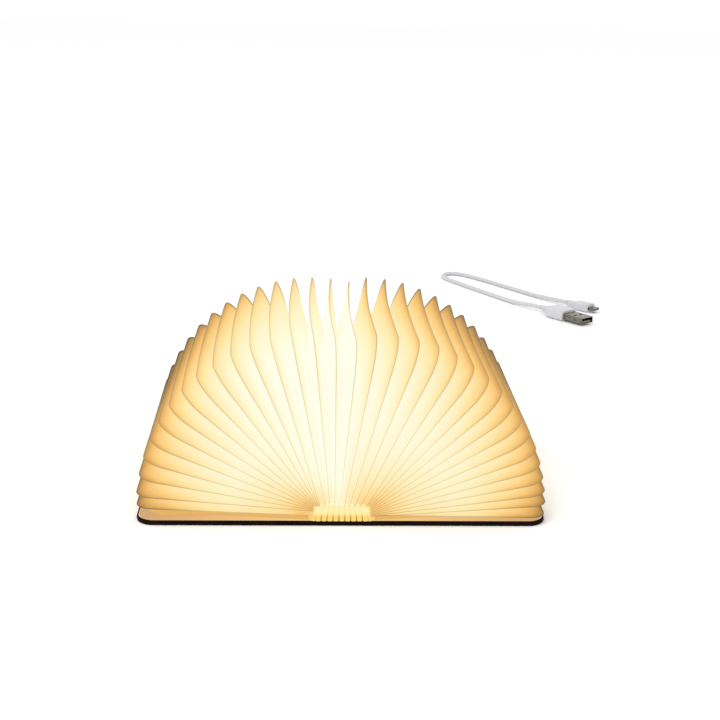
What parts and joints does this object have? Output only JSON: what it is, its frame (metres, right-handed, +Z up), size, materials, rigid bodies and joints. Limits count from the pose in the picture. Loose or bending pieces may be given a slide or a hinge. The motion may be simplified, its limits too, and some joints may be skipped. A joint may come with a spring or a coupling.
{
  "type": "folding book lamp",
  "caption": "Book-shaped folding lamp: two leatherette covers and a fan of pleated paper over an LED light bar in the spine, with a charging lead.",
  "frame": {"origin": "middle of the spine on the surface the open lamp stands on", "axes": "+X across the open covers, from the left cover to the right one; +Y along the spine, away from the near end towards the charging socket; +Z up"},
  "size_m": [0.3114, 0.5474, 0.0943],
  "materials": {
    "leatherette": "dark brown grained leatherette",
    "greyboard": "bookbinder's greyboard",
    "lining_paper": "smooth beige lining paper",
    "pleat_paper": "translucent water-resistant paper, lit from inside",
    "tray_plastic": "white moulded plastic",
    "lens_plastic": "frosted lens",
    "circuit_board": "white solder mask",
    "led_phosphor": "warm white LED",
    "battery_foil": "grey pouch foil",
    "green_board": "green solder mask",
    "steel": "plated steel",
    "switch_glass": "reed switch glass",
    "magnet_nickel": "nickel plated magnet",
    "lead_plastic": "white soft plastic"
  },
  "bodies": {
    "spine": {"spine_board": "greyboard", "spine_wrap": "leatherette", "bar_tray": "tray_plastic", "end_caps": "tray_plastic", "diffuser": "lens_plastic", "led_board": "circuit_board", "leds": "led_phosphor", "battery": "battery_foil", "charge_board": "green_board", "usb_socket": "steel", "reed_switch": "switch_glass", "bar_screws": "steel", "root_folds": "pleat_paper", "left_groove": "leatherette", "right_groove": "leatherette", "lead_cord": "lead_plastic", "usb_a_grip": "lead_plastic", "usb_a_shell": "steel", "micro_grip": "lead_plastic", "micro_shell": "steel"},
    "left_cover": {"left_board": "greyboard", "left_wrap": "leatherette", "left_lining": "lining_paper", "left_magnets": "magnet_nickel"},
    "left_page_16": {"left_pleat_16": "pleat_paper"},
    "left_page_15": {"left_pleat_15": "pleat_paper"},
    "left_page_14": {"left_pleat_14": "pleat_paper"},
    "left_page_13": {"left_pleat_13": "pleat_paper"},
    "left_page_12": {"left_pleat_12": "pleat_paper"},
    "left_page_11": {"left_pleat_11": "pleat_paper"},
    "left_page_10": {"left_pleat_10": "pleat_paper"},
    "left_page_09": {"left_pleat_09": "pleat_paper"},
    "left_page_08": {"left_pleat_08": "pleat_paper"},
    "left_page_07": {"left_pleat_07": "pleat_paper"},
    "left_page_06": {"left_pleat_06": "pleat_paper"},
    "left_page_05": {"left_pleat_05": "pleat_paper"},
    "left_page_04": {"left_pleat_04": "pleat_paper"},
    "left_page_03": {"left_pleat_03": "pleat_paper"},
    "left_page_02": {"left_pleat_02": "pleat_paper"},
    "left_page_01": {"left_pleat_01": "pleat_paper"},
    "right_cover": {"right_board": "greyboard", "right_wrap": "leatherette", "right_lining": "lining_paper", "right_magnets": "magnet_nickel"},
    "right_page_16": {"right_pleat_16": "pleat_paper"},
    "right_page_15": {"right_pleat_15": "pleat_paper"},
    "right_page_14": {"right_pleat_14": "pleat_paper"},
    "right_page_13": {"right_pleat_13": "pleat_paper"},
    "right_page_12": {"right_pleat_12": "pleat_paper"},
    "right_page_11": {"right_pleat_11": "pleat_paper"},
    "right_page_10": {"right_pleat_10": "pleat_paper"},
    "right_page_09": {"right_pleat_09": "pleat_paper"},
    "right_page_08": {"right_pleat_08": "pleat_paper"},
    "right_page_07": {"right_pleat_07": "pleat_paper"},
    "right_page_06": {"right_pleat_06": "pleat_paper"},
    "right_page_05": {"right_pleat_05": "pleat_paper"},
    "right_page_04": {"right_pleat_04": "pleat_paper"},
    "right_page_03": {"right_pleat_03": "pleat_paper"},
    "right_page_02": {"right_pleat_02": "pleat_paper"},
    "right_page_01": {"right_pleat_01": "pleat_paper"}
  },
  "joints": [
    {"name": "left_cover_hinge", "type": "hinge", "parent": "spine", "child": "left_cover", "pos_m": [-0.0109, 0, 0.006], "axis": [0, 1, 0], "range_deg": [-90, 90], "deforming": ["left_groove"]},
    {"name": "left_page_16_fold", "type": "hinge", "parent": "spine", "child": "left_page_16", "pos_m": [-0.0012, 0, 0.0103], "axis": [0, 1, 0], "range_deg": [-5.72, 5.72], "deforming": ["left_pleat_16"]},
    {"name": "left_page_15_fold", "type": "hinge", "parent": "left_page_16", "child": "left_page_15", "pos_m": [-0.00359, 0, 0.01053], "axis": [0, 1, 0], "range_deg": [-5.87, 5.87], "deforming": ["left_pleat_15"]},
    {"name": "left_page_14_fold", "type": "hinge", "parent": "left_page_15", "child": "left_page_14", "pos_m": [-0.00599, 0, 0.01052], "axis": [0, 1, 0], "range_deg": [-5.78, 5.78], "deforming": ["left_pleat_14"]},
    {"name": "left_page_13_fold", "type": "hinge", "parent": "left_page_14", "child": "left_page_13", "pos_m": [-0.00838, 0, 0.01029], "axis": [0, 1, 0], "range_deg": [-5.71, 5.71], "deforming": ["left_pleat_13"]},
    {"name": "left_page_12_fold", "type": "hinge", "parent": "left_page_13", "child": "left_page_12", "pos_m": [-0.01073, 0, 0.00983], "axis": [0, 1, 0], "range_deg": [-5.64, 5.64], "deforming": ["left_pleat_12"]},
    {"name": "left_page_11_fold", "type": "hinge", "parent": "left_page_12", "child": "left_page_11", "pos_m": [-0.011, 0, 0.00975], "axis": [0, 1, 0], "range_deg": [-7.01, 7.01], "deforming": ["left_pleat_11"]},
    {"name": "left_page_10_fold", "type": "hinge", "parent": "left_page_11", "child": "left_page_10", "pos_m": [-0.01126, 0, 0.00964], "axis": [0, 1, 0], "range_deg": [-6.93, 6.93], "deforming": ["left_pleat_10"]},
    {"name": "left_page_09_fold", "type": "hinge", "parent": "left_page_10", "child": "left_page_09", "pos_m": [-0.0115, 0, 0.0095], "axis": [0, 1, 0], "range_deg": [-6.85, 6.85], "deforming": ["left_pleat_09"]},
    {"name": "left_page_08_fold", "type": "hinge", "parent": "left_page_09", "child": "left_page_08", "pos_m": [-0.01173, 0, 0.00933], "axis": [0, 1, 0], "range_deg": [-6.77, 6.77], "deforming": ["left_pleat_08"]},
    {"name": "left_page_07_fold", "type": "hinge", "parent": "left_page_08", "child": "left_page_07", "pos_m": [-0.01193, 0, 0.00914], "axis": [0, 1, 0], "range_deg": [-6.69, 6.69], "deforming": ["left_pleat_07"]},
    {"name": "left_page_06_fold", "type": "hinge", "parent": "left_page_07", "child": "left_page_06", "pos_m": [-0.01212, 0, 0.00893], "axis": [0, 1, 0], "range_deg": [-6.6, 6.6], "deforming": ["left_pleat_06"]},
    {"name": "left_page_05_fold", "type": "hinge", "parent": "left_page_06", "child": "left_page_05", "pos_m": [-0.01228, 0, 0.0087], "axis": [0, 1, 0], "range_deg": [-6.51, 6.51], "deforming": ["left_pleat_05"]},
    {"name": "left_page_04_fold", "type": "hinge", "parent": "left_page_05", "child": "left_page_04", "pos_m": [-0.01241, 0, 0.00845], "axis": [0, 1, 0], "range_deg": [-6.4, 6.4], "deforming": ["left_pleat_04"]},
    {"name": "left_page_03_fold", "type": "hinge", "parent": "left_page_04", "child": "left_page_03", "pos_m": [-0.01252, 0, 0.00819], "axis": [0, 1, 0], "range_deg": [-6.28, 6.28], "deforming": ["left_pleat_03"]},
    {"name": "left_page_02_fold", "type": "hinge", "parent": "left_page_03", "child": "left_page_02", "pos_m": [-0.01259, 0, 0.00792], "axis": [0, 1, 0], "range_deg": [-6.13, 6.13], "deforming": ["left_pleat_02"]},
    {"name": "left_page_01_fold", "type": "hinge", "parent": "left_page_02", "child": "left_page_01", "pos_m": [-0.01264, 0, 0.00765], "axis": [0, 1, 0], "range_deg": [-5.9, 5.9], "deforming": ["left_pleat_01"]},
    {"name": "right_cover_hinge", "type": "hinge", "parent": "spine", "child": "right_cover", "pos_m": [0.0109, 0, 0.006], "axis": [0, -1, 0], "range_deg": [-90, 90], "deforming": ["right_groove"]},
    {"name": "right_page_16_fold", "type": "hinge", "parent": "spine", "child": "right_page_16", "pos_m": [0.0012, 0, 0.0103], "axis": [0, -1, 0], "range_deg": [-10.48, 10.48], "deforming": ["right_pleat_16"]},
    {"name": "right_page_15_fold", "type": "hinge", "parent": "right_page_16", "child": "right_page_15", "pos_m": [0.00356, 0, 0.00988], "axis": [0, -1, 0], "range_deg": [-5.69, 5.69], "deforming": ["right_pleat_15"]},
    {"name": "right_page_14_fold", "type": "hinge", "parent": "right_page_15", "child": "right_page_14", "pos_m": [0.00587, 0, 0.00923], "axis": [0, -1, 0], "range_deg": [-5.52, 5.52], "deforming": ["right_pleat_14"]},
    {"name": "right_page_13_fold", "type": "hinge", "parent": "right_page_14", "child": "right_page_13", "pos_m": [0.00812, 0, 0.00838], "axis": [0, -1, 0], "range_deg": [-5.36, 5.36], "deforming": ["right_pleat_13"]},
    {"name": "right_page_12_fold", "type": "hinge", "parent": "right_page_13", "child": "right_page_12", "pos_m": [0.01028, 0, 0.00733], "axis": [0, -1, 0], "range_deg": [-5.2, 5.2], "deforming": ["right_pleat_12"]},
    {"name": "right_page_11_fold", "type": "hinge", "parent": "right_page_12", "child": "right_page_11", "pos_m": [0.01052, 0, 0.00719], "axis": [0, -1, 0], "range_deg": [-6.42, 6.42], "deforming": ["right_pleat_11"]},
    {"name": "right_page_10_fold", "type": "hinge", "parent": "right_page_11", "child": "right_page_10", "pos_m": [0.01074, 0, 0.00702], "axis": [0, -1, 0], "range_deg": [-6.24, 6.24], "deforming": ["right_pleat_10"]},
    {"name": "right_page_09_fold", "type": "hinge", "parent": "right_page_10", "child": "right_page_09", "pos_m": [0.01095, 0, 0.00683], "axis": [0, -1, 0], "range_deg": [-6.07, 6.07], "deforming": ["right_pleat_09"]},
    {"name": "right_page_08_fold", "type": "hinge", "parent": "right_page_09", "child": "right_page_08", "pos_m": [0.01113, 0, 0.00662], "axis": [0, -1, 0], "range_deg": [-5.88, 5.88], "deforming": ["right_pleat_08"]},
    {"name": "right_page_07_fold", "type": "hinge", "parent": "right_page_08", "child": "right_page_07", "pos_m": [0.0113, 0, 0.00639], "axis": [0, -1, 0], "range_deg": [-5.68, 5.68], "deforming": ["right_pleat_07"]},
    {"name": "right_page_06_fold", "type": "hinge", "parent": "right_page_07", "child": "right_page_06", "pos_m": [0.01144, 0, 0.00615], "axis": [0, -1, 0], "range_deg": [-5.47, 5.47], "deforming": ["right_pleat_06"]},
    {"name": "right_page_05_fold", "type": "hinge", "parent": "right_page_06", "child": "right_page_05", "pos_m": [0.01156, 0, 0.0059], "axis": [0, -1, 0], "range_deg": [-5.23, 5.23], "deforming": ["right_pleat_05"]},
    {"name": "right_page_04_fold", "type": "hinge", "parent": "right_page_05", "child": "right_page_04", "pos_m": [0.01166, 0, 0.00564], "axis": [0, -1, 0], "range_deg": [-4.96, 4.96], "deforming": ["right_pleat_04"]},
    {"name": "right_page_03_fold", "type": "hinge", "parent": "right_page_04", "child": "right_page_03", "pos_m": [0.01173, 0, 0.00537], "axis": [0, -1, 0], "range_deg": [-4.65, 4.65], "deforming": ["right_pleat_03"]},
    {"name": "right_page_02_fold", "type": "hinge", "parent": "right_page_03", "child": "right_page_02", "pos_m": [0.01179, 0, 0.00509], "axis": [0, -1, 0], "range_deg": [-4.26, 4.26], "deforming": ["right_pleat_02"]},
    {"name": "right_page_01_fold", "type": "hinge", "parent": "right_page_02", "child": "right_page_01", "pos_m": [0.01182, 0, 0.00481], "axis": [0, -1, 0], "range_deg": [-3.72, 3.72], "deforming": ["right_pleat_01"]}
  ],
  "couplings": [
    {"joint": "left_page_16_fold", "follows": "left_cover_hinge", "ratio": -0.060194},
    {"joint": "left_page_15_fold", "follows": "left_cover_hinge", "ratio": 0.061887},
    {"joint": "left_page_14_fold", "follows": "left_cover_hinge", "ratio": 0.060913},
    {"joint": "left_page_13_fold", "follows": "left_cover_hinge", "ratio": 0.060082},
    {"joint": "left_page_12_fold", "follows": "left_cover_hinge", "ratio": 0.059377},
    {"joint": "left_page_11_fold", "follows": "left_cover_hinge", "ratio": 0.074501},
    {"joint": "left_page_10_fold", "follows": "left_cover_hinge", "ratio": 0.073662},
    {"joint": "left_page_09_fold", "follows": "left_cover_hinge", "ratio": 0.072803},
    {"joint": "left_page_08_fold", "follows": "left_cover_hinge", "ratio": 0.07192},
    {"joint": "left_page_07_fold", "follows": "left_cover_hinge", "ratio": 0.071001},
    {"joint": "left_page_06_fold", "follows": "left_cover_hinge", "ratio": 0.070031},
    {"joint": "left_page_05_fold", "follows": "left_cover_hinge", "ratio": 0.068983},
    {"joint": "left_page_04_fold", "follows": "left_cover_hinge", "ratio": 0.067817},
    {"joint": "left_page_03_fold", "follows": "left_cover_hinge", "ratio": 0.066453},
    {"joint": "left_page_02_fold", "follows": "left_cover_hinge", "ratio": 0.064742},
    {"joint": "left_page_01_fold", "follows": "left_cover_hinge", "ratio": 0.062275},
    {"joint": "right_page_16_fold", "follows": "right_cover_hinge", "ratio": 0.11315},
    {"joint": "right_page_15_fold", "follows": "right_cover_hinge", "ratio": 0.059931},
    {"joint": "right_page_14_fold", "follows": "right_cover_hinge", "ratio": 0.058012},
    {"joint": "right_page_13_fold", "follows": "right_cover_hinge", "ratio": 0.056209},
    {"joint": "right_page_12_fold", "follows": "right_cover_hinge", "ratio": 0.054483},
    {"joint": "right_page_11_fold", "follows": "right_cover_hinge", "ratio": 0.067954},
    {"joint": "right_page_10_fold", "follows": "right_cover_hinge", "ratio": 0.066052},
    {"joint": "right_page_09_fold", "follows": "right_cover_hinge", "ratio": 0.064081},
    {"joint": "right_page_08_fold", "follows": "right_cover_hinge", "ratio": 0.062013},
    {"joint": "right_page_07_fold", "follows": "right_cover_hinge", "ratio": 0.059813},
    {"joint": "right_page_06_fold", "follows": "right_cover_hinge", "ratio": 0.057432},
    {"joint": "right_page_05_fold", "follows": "right_cover_hinge", "ratio": 0.054801},
    {"joint": "right_page_04_fold", "follows": "right_cover_hinge", "ratio": 0.051817},
    {"joint": "right_page_03_fold", "follows": "right_cover_hinge", "ratio": 0.04831},
    {"joint": "right_page_02_fold", "follows": "right_cover_hinge", "ratio": 0.043958},
    {"joint": "right_page_01_fold", "follows": "right_cover_hinge", "ratio": 0.037988}
  ]
}
